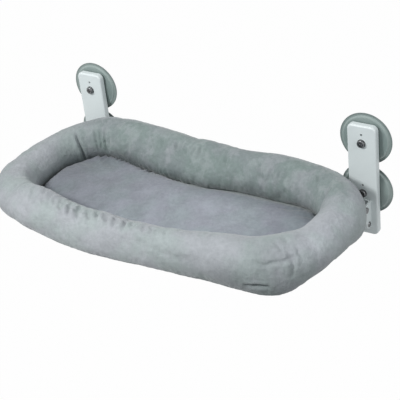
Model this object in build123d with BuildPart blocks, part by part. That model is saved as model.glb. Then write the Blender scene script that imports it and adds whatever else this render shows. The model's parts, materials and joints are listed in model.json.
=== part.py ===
"""Window mounted cat perch, in millimetres.

Two steel brackets are held on a window by four suction cups. A soft bed on a steel tube frame
hangs from a hinge low on each bracket, rests level on a stop pin and folds up towards the glass.
The origin is on the glass, midway between the four cups. +X is to the right as seen from the
room, -Y points into the room and +Z is up.
"""

import os
from math import sqrt

from build123d import *

# Suction cups: the lip lies on the glass, the neck carries a hard hub
cup_diameter = 90
cup_spacing = 92
cup_lip_width = 4
cup_lip_thickness = 1.2
cup_bevel_width = 2
cup_bevel_height = 3.4
cup_dome_height = 7.4
cup_dome_middle_height = 5.8
cup_neck_radius = 13
cup_neck_fillet = 2
cup_neck_height = 12
cup_seal_width = 8
cup_cavity_depth = 2.8

# Hub on the neck of a cup, with a nib that stops it turning in the bracket
hub_radius = 20
hub_edge = 0.8
nib_radius = 1.6
nib_offset = 15
nib_recess = 0.3

# M6 fastener of a cup: flanged nut in the neck, washer and pan head on the bracket
screw_radius = 3
screw_length = 12
screw_head_radius = 6.4
screw_head_height = 4
screw_head_edge = 1.6
recess_length = 7.5
recess_width = 1.5
recess_depth = 1.8
washer_radius = 7
washer_thickness = 1
nut_across_flats = 10
nut_height = 5.6
nut_sides = 6
nut_flange_radius = 9
nut_flange_thickness = 1.6

# Brackets: shallow pressed pans, open towards the glass
bracket_width = 50
bracket_height = 200
bracket_depth = 10
bracket_wall = 2
bracket_standoff = 18
bracket_corner_radius = 9
bracket_edge_radius = 3
bracket_top_margin = 31

# Hinge: places of the two pins, and the yoke that carries them
frame_drop = 66
hinge_reach = 18
stop_reach = 9
stop_drop = 32
yoke_gap = 22
ear_thickness = 2.5
web_thickness = 2.5
web_top_margin = 9
ear_eye_radius = 8
stop_eye_radius = 7
hinge_pin_radius = 3
hinge_pin_head_radius = 5.5
hinge_pin_head_height = 2.5
hinge_pin_head_slope = 20
hinge_pin_end = 3
clip_radius = 5
clip_thickness = 0.8
clip_offset = 0.7
clip_groove_radius = 2.3
clip_slot = 3.6
stop_pin_radius = 3
stop_pin_head_radius = 5
stop_pin_head_height = 1.8
spacer_radius = 6.5
rivet_radius = 2.4
rivet_head_radius = 4.5
rivet_head_height = 1.6
rivet_head_slope = 30
upper_rivet_drop = 13
lower_rivet_drop = 40

# Frame of the bed: round steel tube
tube_radius = 8
tube_wall = 1.2
front_overhang = 48
side_overhang = 52
cross_tube_reach = 24
tube_joint_gap = 0.3
connector_length = 120
cross_pin_radius = 1.5
cross_pin_offset = 38

# Knuckle between the hinge and a leg of the frame
knuckle_width = 12
knuckle_eye_radius = 8
heel_depth = 11
heel_below_stop = 6
heel_corner_radius = 3
collar_length = 3
spigot_length = 38
knuckle_pin_offset = 26

# Soft parts of the bed
bed_width = 636
bed_depth = 306
bed_end_straight = 42
bed_rear_gap = 2.5
bolster_width = 70
bolster_rise = 36
bolster_drop = 36
bolster_level = 36
sleeve_thickness = 1.7
sleeve_setback = 9
panel_thickness = 3
panel_level = 7.5
panel_rear_radius = 6
pad_edge_height = 11
pad_edge_radius = 5
pad_crown_long = 5
pad_crown_short = 5

# Clearances
thread_clearance = 0.05
pin_clearance = 0.05
bracket_hole_clearance = 0.3
washer_clearance = 0.2
rivet_clearance = 0.05
spacer_clearance = 0.15
spigot_clearance = 0.1
stop_clearance = 0.1
soft_clearance = 0.3
cut_overrun = 5

# Places worked out from the sizes above
bracket_spacing = bed_width - 2 * side_overhang
bracket_top = cup_spacing / 2 + bracket_top_margin
bracket_middle = bracket_top - bracket_height / 2
bracket_rear = bracket_standoff - bracket_depth
bracket_inner_face = bracket_standoff - bracket_wall
hub_thickness = bracket_inner_face - cup_neck_height
nut_seat = cup_neck_height - nut_height
frame_level = -frame_drop
hinge_y = -bracket_standoff - hinge_reach
stop_y = -bracket_standoff - stop_reach
stop_level = frame_level - stop_drop
heel_face = stop_y - stop_pin_radius - stop_clearance
yoke_width = yoke_gap + 2 * ear_thickness
collar_start = hinge_y - knuckle_eye_radius
leg_start = collar_start - collar_length
bed_rear = -bracket_standoff - bed_rear_gap
bed_front = bed_rear - bed_depth
bed_middle = bed_rear - bed_depth / 2
bed_corner_radius = (bed_depth - bed_end_straight) / 2
frame_front = bed_front + front_overhang
frame_corner_radius = bed_corner_radius - front_overhang
cross_tube_y = hinge_y - cross_tube_reach
sleeve_radius = tube_radius + soft_clearance + sleeve_thickness
sleeve_start = cross_tube_y - tube_radius - sleeve_setback
bolster_middle = frame_level + bolster_level
panel_inset = sleeve_radius - sleeve_thickness
panel_top = frame_level + panel_level + panel_thickness / 2
pad_bottom = panel_top + soft_clearance
pad_inset = bolster_width + soft_clearance

quarter_turn = 90
sides = {"left": -1, "right": 1}
rows = {"upper": 1, "lower": -1}

# Fullness of the bolster at its corners, and at even places along its front and back from left
# to right: width, rise and drop, as shares of the bolster's own
corner_shares = {
    "front": {"left": (1, 0.92, 1), "right": (1, 1.18, 1)},
    "back": {"left": (1, 1.08, 1), "right": (1, 1.06, 1)},
}
rail_shares = {
    "front": [(1, 0.74, 1.1), (0.97, 0.78, 1.08), (1, 0.94, 1)],
    "back": [(1, 1.28, 1), (0.97, 1.1, 1), (1, 1.12, 1)],
}


def save(builder, label):
    """Label a finished sub-part and write its STEP file."""
    builder.part.label = label
    export_step(builder.part, f"parts/{label}.step")


def cup_plane(x, z):
    """Plane of a cup's half section: local x is the radius, local y points out of the room."""
    return Plane(origin=(x, 0, z), x_dir=(1, 0, 0), z_dir=(0, 0, 1))


def glass_offset(distance):
    """Plane parallel to the glass, this far into the room, seen from the room."""
    return Plane.XZ.offset(distance)


def cup_axis(x, z):
    return Axis((x, 0, z), (0, 1, 0))


def make_cup(x, z):
    """Suction cup as it lies on the glass: seal ring, bevelled lip, dome and neck."""
    radius = cup_diameter / 2
    bevel_foot = radius - cup_lip_width
    dome_edge = bevel_foot - cup_bevel_width
    neck_foot = cup_neck_radius + cup_neck_fillet
    seal_inner = radius - cup_seal_width
    with BuildPart() as cup:
        with BuildSketch(cup_plane(x, z)):
            with BuildLine():
                Polyline(
                    (seal_inner, 0),
                    (radius, 0),
                    (radius, -cup_lip_thickness),
                    (bevel_foot, -cup_lip_thickness),
                    (dome_edge, -cup_bevel_height),
                )
                ThreePointArc(
                    (dome_edge, -cup_bevel_height),
                    ((dome_edge + neck_foot) / 2, -cup_dome_middle_height),
                    (neck_foot, -cup_dome_height),
                )
                RadiusArc(
                    (neck_foot, -cup_dome_height),
                    (cup_neck_radius, -cup_dome_height - cup_neck_fillet),
                    -cup_neck_fillet,
                )
                Polyline(
                    (cup_neck_radius, -cup_dome_height - cup_neck_fillet),
                    (cup_neck_radius, -cup_neck_height),
                    (0, -cup_neck_height),
                    (0, -cup_cavity_depth),
                )
                TangentArc((0, -cup_cavity_depth), (seal_inner, 0), tangent=(1, 0))
            make_face()
        revolve(axis=cup_axis(x, z))
        with BuildSketch(glass_offset(nut_seat)):
            with Locations((x, z)):
                Circle(nut_flange_radius)
        extrude(amount=nut_flange_thickness, mode=Mode.SUBTRACT)
        with BuildSketch(glass_offset(nut_seat)):
            with Locations((x, z)):
                RegularPolygon(nut_across_flats / 2, nut_sides, major_radius=False)
        extrude(amount=nut_height + cut_overrun, mode=Mode.SUBTRACT)
    return cup


def make_nut(x, z):
    """Flanged nut moulded into the neck."""
    with BuildPart() as nut:
        with BuildSketch(glass_offset(nut_seat)):
            with Locations((x, z)):
                Circle(nut_flange_radius)
        extrude(amount=nut_flange_thickness)
        with BuildSketch(glass_offset(nut_seat)):
            with Locations((x, z)):
                RegularPolygon(nut_across_flats / 2, nut_sides, major_radius=False)
        extrude(amount=nut_height)
        with BuildSketch(glass_offset(nut_seat)):
            with Locations((x, z)):
                Circle(screw_radius + thread_clearance)
        extrude(amount=nut_height, mode=Mode.SUBTRACT)
    return nut


def make_hub(x, z):
    """Hard disc between neck and bracket, with the locating nib above the screw."""
    with BuildPart() as hub:
        with BuildSketch(glass_offset(cup_neck_height)):
            with Locations((x, z)):
                Circle(hub_radius)
        extrude(amount=hub_thickness)
        chamfer(hub.edges().filter_by(GeomType.CIRCLE), hub_edge)
        with BuildSketch(glass_offset(bracket_inner_face)):
            with Locations((x, z + nib_offset)):
                Circle(nib_radius)
        extrude(amount=bracket_wall - nib_recess)
        with BuildSketch(glass_offset(cup_neck_height)):
            with Locations((x, z)):
                Circle(screw_radius + bracket_hole_clearance)
        extrude(amount=hub_thickness, mode=Mode.SUBTRACT)
    return hub


def make_screw(x, z):
    """Pan-head screw with a cross recess."""
    head_seat = bracket_standoff + washer_thickness
    with BuildPart() as screw:
        with BuildSketch(glass_offset(head_seat)):
            with Locations((x, z)):
                Circle(screw_head_radius)
        extrude(amount=screw_head_height)
        fillet(screw.edges().sort_by(Axis.Y)[0], screw_head_edge)
        with BuildSketch(glass_offset(head_seat + screw_head_height)):
            with Locations((x, z)):
                Rectangle(recess_length, recess_width)
                Rectangle(recess_width, recess_length)
        extrude(amount=-recess_depth, mode=Mode.SUBTRACT)
        with BuildSketch(glass_offset(head_seat)):
            with Locations((x, z)):
                Circle(screw_radius)
        extrude(amount=-screw_length)
    return screw


def make_washer(x, z):
    with BuildPart() as washer:
        with BuildSketch(glass_offset(bracket_standoff)):
            with Locations((x, z)):
                Circle(washer_radius)
                Circle(screw_radius + washer_clearance, mode=Mode.SUBTRACT)
        extrude(amount=washer_thickness)
    return washer


def make_bracket(x):
    """Pressed pan with holes for the cups' screws, their nibs and the yoke's rivets."""
    with BuildPart() as bracket:
        with BuildSketch(glass_offset(bracket_rear)):
            with Locations((x, bracket_middle)):
                RectangleRounded(bracket_width, bracket_height, bracket_corner_radius)
        extrude(amount=bracket_depth)
        fillet(bracket.faces().sort_by(Axis.Y)[0].edges(), bracket_edge_radius)
        with BuildSketch(glass_offset(bracket_rear)):
            with Locations((x, bracket_middle)):
                RectangleRounded(
                    bracket_width - 2 * bracket_wall,
                    bracket_height - 2 * bracket_wall,
                    bracket_corner_radius - bracket_wall,
                )
        extrude(amount=bracket_depth - bracket_wall, mode=Mode.SUBTRACT)
        floor = bracket.faces().filter_by(Axis.Y).sort_by(Axis.Y)[1]
        fillet(floor.outer_wire().edges(), bracket_edge_radius - bracket_wall)
        with Locations(glass_offset(bracket_standoff)):
            with Locations(*[(x, row * cup_spacing / 2) for row in rows.values()]):
                Hole(screw_radius + bracket_hole_clearance, bracket_wall)
            with Locations(*[(x, row * cup_spacing / 2 + nib_offset) for row in rows.values()]):
                Hole(nib_radius + bracket_hole_clearance, bracket_wall)
            with Locations(*rivet_places(x)):
                Hole(rivet_radius + rivet_clearance, bracket_wall)
    return bracket


def rivet_places(x):
    return [(x, frame_level - upper_rivet_drop), (x, frame_level - lower_rivet_drop)]


def make_yoke(x):
    """Web on the bracket and two ears, which carry the hinge pin and the stop pin."""
    web_top = frame_level + web_top_margin
    web_bottom = stop_level - web_top_margin
    with BuildPart() as yoke:
        with BuildSketch(Plane.YZ.offset(x - yoke_width / 2)) as ear:
            with Locations((hinge_y, frame_level)):
                Circle(ear_eye_radius)
            with Locations((stop_y, stop_level)):
                Circle(stop_eye_radius)
            with Locations((-bracket_standoff - web_thickness / 2, (web_top + web_bottom) / 2)):
                Rectangle(web_thickness, web_top - web_bottom)
            make_hull(ear.sketch_local.edges())
        extrude(amount=yoke_width)
        with BuildSketch(Plane.YZ.offset(x - yoke_gap / 2)):
            with Locations((-bracket_standoff - web_thickness, frame_level)):
                Rectangle(
                    hinge_reach + ear_eye_radius + cut_overrun,
                    2 * bracket_height,
                    align=(Align.MAX, Align.CENTER),
                )
        extrude(amount=yoke_gap, mode=Mode.SUBTRACT)
        with Locations(Plane.YZ.offset(x + yoke_width / 2)):
            with Locations((hinge_y, frame_level)):
                Hole(hinge_pin_radius + pin_clearance, yoke_width)
            with Locations((stop_y, stop_level)):
                Hole(stop_pin_radius + pin_clearance, yoke_width)
        with Locations(glass_offset(bracket_standoff + web_thickness)):
            with Locations(*rivet_places(x)):
                Hole(rivet_radius + rivet_clearance, web_thickness)
    return yoke


def make_rivets(x):
    """Two rivets: low heads on the web and inside the bracket."""
    with BuildPart() as rivets:
        with BuildSketch(glass_offset(bracket_inner_face)):
            with Locations(*rivet_places(x)):
                Circle(rivet_radius)
        extrude(amount=bracket_wall + web_thickness)
        with BuildSketch(glass_offset(bracket_standoff + web_thickness)):
            with Locations(*rivet_places(x)):
                Circle(rivet_head_radius)
        extrude(amount=rivet_head_height, taper=rivet_head_slope)
        with BuildSketch(glass_offset(bracket_inner_face)):
            with Locations(*rivet_places(x)):
                Circle(rivet_head_radius)
        extrude(amount=-rivet_head_height, taper=rivet_head_slope)
    return rivets


def make_hinge_pin(x, side):
    """Clevis pin: head on the outer ear, groove for the clip past the inner ear."""
    outer = x + side * yoke_width / 2
    inner = x - side * (yoke_width / 2 + hinge_pin_end)
    groove = x - side * (yoke_width / 2 + clip_offset)
    with BuildPart() as pin:
        with BuildSketch(Plane.YZ.offset(inner)):
            with Locations((hinge_y, frame_level)):
                Circle(hinge_pin_radius)
        extrude(amount=outer - inner)
        with BuildSketch(Plane.YZ.offset(outer)):
            with Locations((hinge_y, frame_level)):
                Circle(hinge_pin_head_radius)
        extrude(amount=side * hinge_pin_head_height, taper=hinge_pin_head_slope)
        with BuildSketch(Plane.YZ.offset(groove)):
            with Locations((hinge_y, frame_level)):
                Circle(hinge_pin_radius + cut_overrun)
                Circle(clip_groove_radius, mode=Mode.SUBTRACT)
        extrude(amount=-side * clip_thickness, mode=Mode.SUBTRACT)
    return pin


def make_clip(x, side):
    """Open ring that snaps into the hinge pin's groove."""
    groove = x - side * (yoke_width / 2 + clip_offset)
    with BuildPart() as clip:
        with BuildSketch(Plane.YZ.offset(groove)):
            with Locations((hinge_y, frame_level)):
                Circle(clip_radius)
                Circle(clip_groove_radius + pin_clearance, mode=Mode.SUBTRACT)
                Rectangle(
                    clip_slot,
                    clip_radius + cut_overrun,
                    align=(Align.CENTER, Align.MAX),
                    mode=Mode.SUBTRACT,
                )
        extrude(amount=-side * clip_thickness)
    return clip


def make_spacers(x):
    """Two plastic rings on the hinge pin, one each side of the knuckle."""
    spacer_length = (yoke_gap - knuckle_width) / 2 - 2 * spacer_clearance
    with BuildPart() as spacers:
        for start in (knuckle_width / 2, -yoke_gap / 2):
            with BuildSketch(Plane.YZ.offset(x + start + spacer_clearance)):
                with Locations((hinge_y, frame_level)):
                    Circle(spacer_radius)
                    Circle(hinge_pin_radius + washer_clearance, mode=Mode.SUBTRACT)
            extrude(amount=spacer_length)
    return spacers


def make_stop_pin(x):
    """Pin riveted over at both ears, which the knuckle's heel leans on."""
    with BuildPart() as pin:
        with BuildSketch(Plane.YZ.offset(x - yoke_width / 2)):
            with Locations((stop_y, stop_level)):
                Circle(stop_pin_radius)
        extrude(amount=yoke_width)
        for side in sides.values():
            with BuildSketch(Plane.YZ.offset(x + side * yoke_width / 2)):
                with Locations((stop_y, stop_level)):
                    Circle(stop_pin_head_radius)
            extrude(amount=side * stop_pin_head_height, taper=rivet_head_slope)
    return pin


def make_knuckle(x):
    """Hinge eye with a heel below it and a spigot that plugs into the leg."""
    heel_bottom = stop_level - heel_below_stop
    heel_front = heel_face - heel_depth
    with BuildPart() as knuckle:
        with BuildSketch(Plane.YZ.offset(x - knuckle_width / 2)):
            with Locations((hinge_y, frame_level)):
                Circle(knuckle_eye_radius)
            with BuildLine():
                Polyline(
                    (heel_face, frame_level),
                    (heel_face, heel_bottom + heel_corner_radius),
                    (heel_face - heel_corner_radius, heel_bottom),
                    (heel_front + heel_corner_radius, heel_bottom),
                    (heel_front, heel_bottom + heel_corner_radius),
                    (leg_start, frame_level - tube_radius),
                    (leg_start, frame_level),
                    close=True,
                )
            make_face()
        extrude(amount=knuckle_width)
        with BuildSketch(glass_offset(-collar_start)):
            with Locations((x, frame_level)):
                Circle(tube_radius)
        extrude(amount=collar_length)
        with BuildSketch(glass_offset(-leg_start)):
            with Locations((x, frame_level)):
                Circle(tube_radius - tube_wall - spigot_clearance)
        extrude(amount=spigot_length)
        with Locations(Plane.YZ.offset(x + knuckle_width / 2)):
            with Locations((hinge_y, frame_level)):
                Hole(hinge_pin_radius + pin_clearance, knuckle_width)
        with Locations(Plane.XY.offset(frame_level + tube_radius)):
            with Locations((x, leg_start - knuckle_pin_offset)):
                Hole(cross_pin_radius + pin_clearance, 2 * tube_radius)
    return knuckle


def make_cross_pins(places):
    """Upright spring pins, flush in the tube."""
    length = 2 * tube_radius - 2 * spigot_clearance
    with BuildPart() as pins:
        with BuildSketch(Plane.XY.offset(frame_level - length / 2)):
            with Locations(*places):
                Circle(cross_pin_radius)
        extrude(amount=length)
    return pins


def make_frame_tube(side):
    """Bent tube: a leg, a front corner and half of the front rail."""
    leg_x = side * bracket_spacing / 2
    with BuildPart() as tube:
        with BuildLine(Plane.XY.offset(frame_level)) as path:
            FilletPolyline(
                (leg_x, leg_start),
                (leg_x, frame_front),
                (side * tube_joint_gap / 2, frame_front),
                radius=frame_corner_radius,
            )
        with BuildSketch(glass_offset(-leg_start)):
            with Locations((leg_x, frame_level)):
                Circle(tube_radius)
                Circle(tube_radius - tube_wall, mode=Mode.SUBTRACT)
        sweep(path=path.line)
        with Locations(Plane.XY.offset(frame_level + tube_radius)):
            with Locations(
                (leg_x, leg_start - knuckle_pin_offset),
                (side * cross_pin_offset, frame_front),
            ):
                Hole(cross_pin_radius + pin_clearance, 2 * tube_radius)
    return tube


def make_connector():
    """Rod inside the front rail, which joins the two bent tubes."""
    with BuildPart() as connector:
        with BuildSketch(Plane.YZ.offset(-connector_length / 2)):
            with Locations((frame_front, frame_level)):
                Circle(tube_radius - tube_wall - spigot_clearance)
        extrude(amount=connector_length)
        with Locations(Plane.XY.offset(frame_level + tube_radius)):
            with Locations(*[(side * cross_pin_offset, frame_front) for side in sides.values()]):
                Hole(cross_pin_radius + pin_clearance, 2 * tube_radius)
    return connector


def make_cross_tube():
    """Straight tube between the legs, under the back of the bed, saddled against both."""
    leg_places = [(side * bracket_spacing / 2, frame_level) for side in sides.values()]
    with BuildPart() as tube:
        with BuildSketch(Plane.YZ.offset(-bracket_spacing / 2)):
            with Locations((cross_tube_y, frame_level)):
                Circle(tube_radius)
                Circle(tube_radius - tube_wall, mode=Mode.SUBTRACT)
        extrude(amount=bracket_spacing)
        with BuildSketch(Plane.XZ):
            with Locations(*leg_places):
                Circle(tube_radius)
        extrude(amount=-bed_front, mode=Mode.SUBTRACT)
    return tube


def make_rear_sleeve():
    """Fabric sleeve on the cross tube."""
    length = bracket_spacing - 2 * (tube_radius + sleeve_setback)
    with BuildPart() as sleeve:
        with BuildSketch(Plane.YZ.offset(-length / 2)):
            with Locations((cross_tube_y, frame_level)):
                Circle(sleeve_radius)
                Circle(tube_radius + soft_clearance, mode=Mode.SUBTRACT)
        extrude(amount=length)
    return sleeve


def frame_path(start):
    """Centreline of the legs and the front rail, from this place on one leg to the other."""
    leg_x = bracket_spacing / 2
    with BuildLine(Plane.XY.offset(frame_level)) as path:
        FilletPolyline(
            (leg_x, start),
            (leg_x, frame_front),
            (-leg_x, frame_front),
            (-leg_x, start),
            radius=frame_corner_radius,
        )
    return path.line


def make_frame_sleeve():
    """Fabric sleeve on the legs and the front rail."""
    path = frame_path(sleeve_start)
    with BuildPart() as sleeve:
        with BuildSketch(glass_offset(-sleeve_start)):
            with Locations((bracket_spacing / 2, frame_level)):
                Circle(sleeve_radius)
                Circle(tube_radius + soft_clearance, mode=Mode.SUBTRACT)
        sweep(path=path)
    return sleeve


def panel_outline(inset):
    """Plan of the base panel between the tubes, this far inside their centrelines."""
    width = bracket_spacing - 2 * inset
    front = frame_front + inset
    rear = cross_tube_y - inset
    with BuildSketch(mode=Mode.PRIVATE) as outline:
        with Locations((0, (front + rear) / 2)):
            Rectangle(width, rear - front)
        fillet(outline.vertices().group_by(Axis.Y)[0], frame_corner_radius - inset)
        fillet(outline.vertices().group_by(Axis.Y)[-1], panel_rear_radius)
    return outline.sketch


def make_base_panel():
    """Padded fabric stretched inside the frame, which carries the pad and the bolster."""
    with BuildPart() as panel:
        with BuildSketch(Plane.XY.offset(panel_top)):
            add(panel_outline(panel_inset))
        extrude(amount=-panel_thickness)
    return panel


def bolster_section(plane, shares):
    """One stuffed section: two upper arcs that meet at the crown and two lower ones."""
    width_share, rise_share, drop_share = shares
    rise = rise_share * bolster_rise
    drop = drop_share * bolster_drop
    diagonal = sqrt(1 / 2)
    with BuildSketch(plane) as section:
        with BuildLine():
            for side in sides.values():
                end = side * width_share * bolster_width / 2
                ThreePointArc((end, 0), (end * diagonal, rise * diagonal), (0, rise))
                ThreePointArc((end, 0), (end * diagonal, -drop * diagonal), (0, -drop))
        make_face()
    return section.sketch


def rail_plane(place, rail_y):
    """Plane across the bolster's front or back."""
    return Plane(origin=(place, rail_y, bolster_middle), x_dir=(0, 1, 0), z_dir=(1, 0, 0))


def end_plane(side, place):
    """Plane across the bolster's left or right end."""
    end_x = side * (bed_width - bolster_width) / 2
    return Plane(origin=(end_x, place, bolster_middle), x_dir=(1, 0, 0), z_dir=(0, -1, 0))


def bolster_rail(rail, rail_y):
    """Sections of the bolster's front or back, from left to right."""
    straight = bed_width / 2 - bed_corner_radius
    corners = corner_shares[rail]
    shares = [corners["left"], *rail_shares[rail], corners["right"]]
    step = 2 * straight / (len(shares) - 1)
    return [
        bolster_section(rail_plane(index * step - straight, rail_y), shares[index])
        for index in range(len(shares))
    ]


def make_bolster():
    """Stuffed ring: lofted front and back, round corners, grooved where it sits on the frame."""
    inset = bolster_width / 2
    straight = bed_width / 2 - bed_corner_radius
    turn_radius = bed_corner_radius - inset
    groove_radius = sleeve_radius + soft_clearance
    groove_path = frame_path(leg_start)
    rails = {"front": (bed_front + inset, 1), "back": (bed_rear - inset, -1)}
    with BuildPart() as bolster:
        for rail, (rail_y, inward) in rails.items():
            loft(sections=bolster_rail(rail, rail_y))
            for side_name, side in sides.items():
                turn_x = side * straight
                turn_axis = Axis((turn_x, rail_y + inward * turn_radius, 0), (0, 0, side * inward))
                section = bolster_section(
                    rail_plane(turn_x, rail_y), corner_shares[rail][side_name]
                )
                revolve(section, axis=turn_axis, revolution_arc=quarter_turn)
        for side_name, side in sides.items():
            loft(
                sections=[
                    bolster_section(
                        end_plane(side, bed_middle - inward * bed_end_straight / 2),
                        corner_shares[rail][side_name],
                    )
                    for rail, (_, inward) in rails.items()
                ]
            )
        with BuildSketch(glass_offset(-leg_start)):
            with Locations((bracket_spacing / 2, frame_level)):
                Circle(groove_radius)
        sweep(path=groove_path, mode=Mode.SUBTRACT)
        with BuildSketch(Plane.YZ.offset(-bracket_spacing / 2)):
            with Locations((cross_tube_y, frame_level)):
                Circle(groove_radius)
        extrude(amount=bracket_spacing, mode=Mode.SUBTRACT)
        with BuildSketch(Plane.XY.offset(pad_bottom)):
            add(panel_outline(0))
        extrude(amount=-frame_drop, mode=Mode.SUBTRACT)
    return bolster


def make_floor_pad():
    """Crowned cushion on the floor of the bed, with rounded edges."""
    length = bed_width - 2 * pad_inset
    depth = bed_depth - 2 * pad_inset
    crown_top = pad_bottom + pad_edge_height + pad_crown_long + pad_crown_short
    with BuildPart() as pad:
        with BuildLine(glass_offset(-bed_middle)) as crown_path:
            ThreePointArc(
                (-length / 2 - cut_overrun, crown_top - pad_crown_long),
                (0, crown_top),
                (length / 2 + cut_overrun, crown_top - pad_crown_long),
            )
        start = Plane(
            origin=crown_path.line @ 0,
            x_dir=(0, 1, 0),
            z_dir=crown_path.line % 0,
        )
        with BuildSketch(start):
            with BuildLine():
                half = depth / 2 + cut_overrun
                ThreePointArc((-half, -pad_crown_short), (0, 0), (half, -pad_crown_short))
                Polyline(
                    (half, -pad_crown_short),
                    (half, -pad_edge_height - 2 * cut_overrun - pad_crown_short),
                    (-half, -pad_edge_height - 2 * cut_overrun - pad_crown_short),
                    (-half, -pad_crown_short),
                )
            make_face()
        sweep(path=crown_path.line)
        with BuildSketch(Plane.XY.offset(pad_bottom)):
            with Locations((0, bed_middle)):
                RectangleRounded(length, depth, bed_corner_radius - pad_inset)
        extrude(amount=crown_top - pad_bottom + cut_overrun, mode=Mode.INTERSECT)
        crown = pad.faces().sort_by(Axis.Z)[-1]
        fillet(crown.edges(), pad_edge_radius)
    return pad


os.makedirs("parts", exist_ok=True)

for side_name, side in sides.items():
    bracket_x = side * bracket_spacing / 2
    for row_name, row in rows.items():
        cup_z = row * cup_spacing / 2
        save(make_cup(bracket_x, cup_z), f"{side_name}_{row_name}_cup")
        save(make_nut(bracket_x, cup_z), f"{side_name}_{row_name}_nut")
        save(make_hub(bracket_x, cup_z), f"{side_name}_{row_name}_hub")
        save(make_washer(bracket_x, cup_z), f"{side_name}_{row_name}_washer")
        save(make_screw(bracket_x, cup_z), f"{side_name}_{row_name}_screw")
    save(make_bracket(bracket_x), f"{side_name}_bracket")
    save(make_yoke(bracket_x), f"{side_name}_yoke")
    save(make_rivets(bracket_x), f"{side_name}_yoke_rivets")
    save(make_hinge_pin(bracket_x, side), f"{side_name}_hinge_pin")
    save(make_clip(bracket_x, side), f"{side_name}_pin_clip")
    save(make_spacers(bracket_x), f"{side_name}_hinge_spacers")
    save(make_stop_pin(bracket_x), f"{side_name}_stop_pin")
    save(make_knuckle(bracket_x), f"{side_name}_knuckle")
    save(make_cross_pins([(bracket_x, leg_start - knuckle_pin_offset)]), f"{side_name}_knuckle_pin")
    save(make_frame_tube(side), f"{side_name}_frame_tube")

save(make_connector(), "rail_connector")
save(
    make_cross_pins([(side * cross_pin_offset, frame_front) for side in sides.values()]),
    "connector_pins",
)
save(make_cross_tube(), "cross_tube")
save(make_rear_sleeve(), "rear_sleeve")
save(make_frame_sleeve(), "frame_sleeve")
save(make_base_panel(), "base_panel")
save(make_bolster(), "bolster")
save(make_floor_pad(), "floor_pad")
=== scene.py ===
# %% [markdown]
# # A window mounted cat perch
#
# The real object is a plush ring bed on a bent steel tube, hinged to two powder-coated
# brackets that suction cups hold on a window pane. This lesson dresses a imported CAD model of
# it. The hard parts are exact already and only need a finish. The soft parts are plain solids,
# so each of them gets a fuller piece of cloth here.
#
# The frame comes first, because every later piece is placed by it.

# %% Load the frame
import json
import math

import bmesh
import bpy
import numpy as np
from mathutils import Matrix, Vector, noise

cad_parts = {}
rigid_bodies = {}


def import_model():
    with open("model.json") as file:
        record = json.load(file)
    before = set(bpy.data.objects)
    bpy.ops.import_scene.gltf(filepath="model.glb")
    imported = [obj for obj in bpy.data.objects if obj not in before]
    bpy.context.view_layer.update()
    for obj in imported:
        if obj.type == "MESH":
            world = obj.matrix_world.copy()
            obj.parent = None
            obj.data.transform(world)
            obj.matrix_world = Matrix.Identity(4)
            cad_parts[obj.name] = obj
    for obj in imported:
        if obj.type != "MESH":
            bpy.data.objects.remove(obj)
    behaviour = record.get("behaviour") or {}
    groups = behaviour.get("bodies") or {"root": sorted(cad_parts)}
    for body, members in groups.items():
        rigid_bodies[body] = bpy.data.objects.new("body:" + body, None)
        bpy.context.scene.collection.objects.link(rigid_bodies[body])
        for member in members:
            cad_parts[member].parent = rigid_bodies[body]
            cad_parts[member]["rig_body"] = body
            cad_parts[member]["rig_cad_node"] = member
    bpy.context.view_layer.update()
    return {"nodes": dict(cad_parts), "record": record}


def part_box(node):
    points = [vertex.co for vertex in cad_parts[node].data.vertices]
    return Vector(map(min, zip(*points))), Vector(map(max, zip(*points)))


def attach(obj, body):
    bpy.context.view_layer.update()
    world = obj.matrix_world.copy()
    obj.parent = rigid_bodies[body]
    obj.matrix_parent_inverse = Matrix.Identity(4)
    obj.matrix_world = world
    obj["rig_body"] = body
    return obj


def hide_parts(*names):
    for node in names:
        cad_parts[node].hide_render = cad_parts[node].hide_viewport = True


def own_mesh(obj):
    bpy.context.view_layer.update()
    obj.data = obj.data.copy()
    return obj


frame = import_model()
nodes = frame["nodes"]
MM = 0.001

# %% [markdown]
# ## Camera
#
# The photograph looks down on the bed from its right, with a long lens and a slight roll. A
# camera can be placed by hand until the edges agree, or worked out from points with known
# sizes. The second way was used: the round suction cups, the screws and the outline of the
# bed give one place, one lens and three angles. The matrix is built from those angles, as
# right, up and backward directions.

# %% Place the camera
AZIMUTH, ELEVATION, ROLL = (math.radians(angle) for angle in (35.29, 31.79, -6.86))
CAMERA_PLACE = Vector((0.9688, -1.4656, 0.9617))
LENS_MM, SENSOR_MM = 104.8, 36.0


def view_axes(azimuth, elevation, roll):
    """Right, up and backward directions of a camera."""
    forward = Vector(
        (
            -math.sin(azimuth) * math.cos(elevation),
            math.cos(azimuth) * math.cos(elevation),
            -math.sin(elevation),
        )
    )
    level = Vector((math.cos(azimuth), math.sin(azimuth), 0))
    upright = level.cross(forward)
    right = math.cos(roll) * level + math.sin(roll) * upright
    up = math.cos(roll) * upright - math.sin(roll) * level
    return right, up, -forward


def place_camera():
    data = bpy.data.cameras.new("photo_camera")
    data.lens, data.sensor_width = LENS_MM, SENSOR_MM
    data.clip_end = 20
    camera = bpy.data.objects.new("photo_camera", data)
    bpy.context.scene.collection.objects.link(camera)
    right, up, back = view_axes(AZIMUTH, ELEVATION, ROLL)
    turned = Matrix((right, up, back)).transposed().to_4x4()
    camera.matrix_world = Matrix.Translation(CAMERA_PLACE) @ turned
    bpy.context.scene.camera = camera
    return camera


camera = place_camera()
print("camera at", tuple(round(c, 3) for c in camera.matrix_world.translation))

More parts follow.
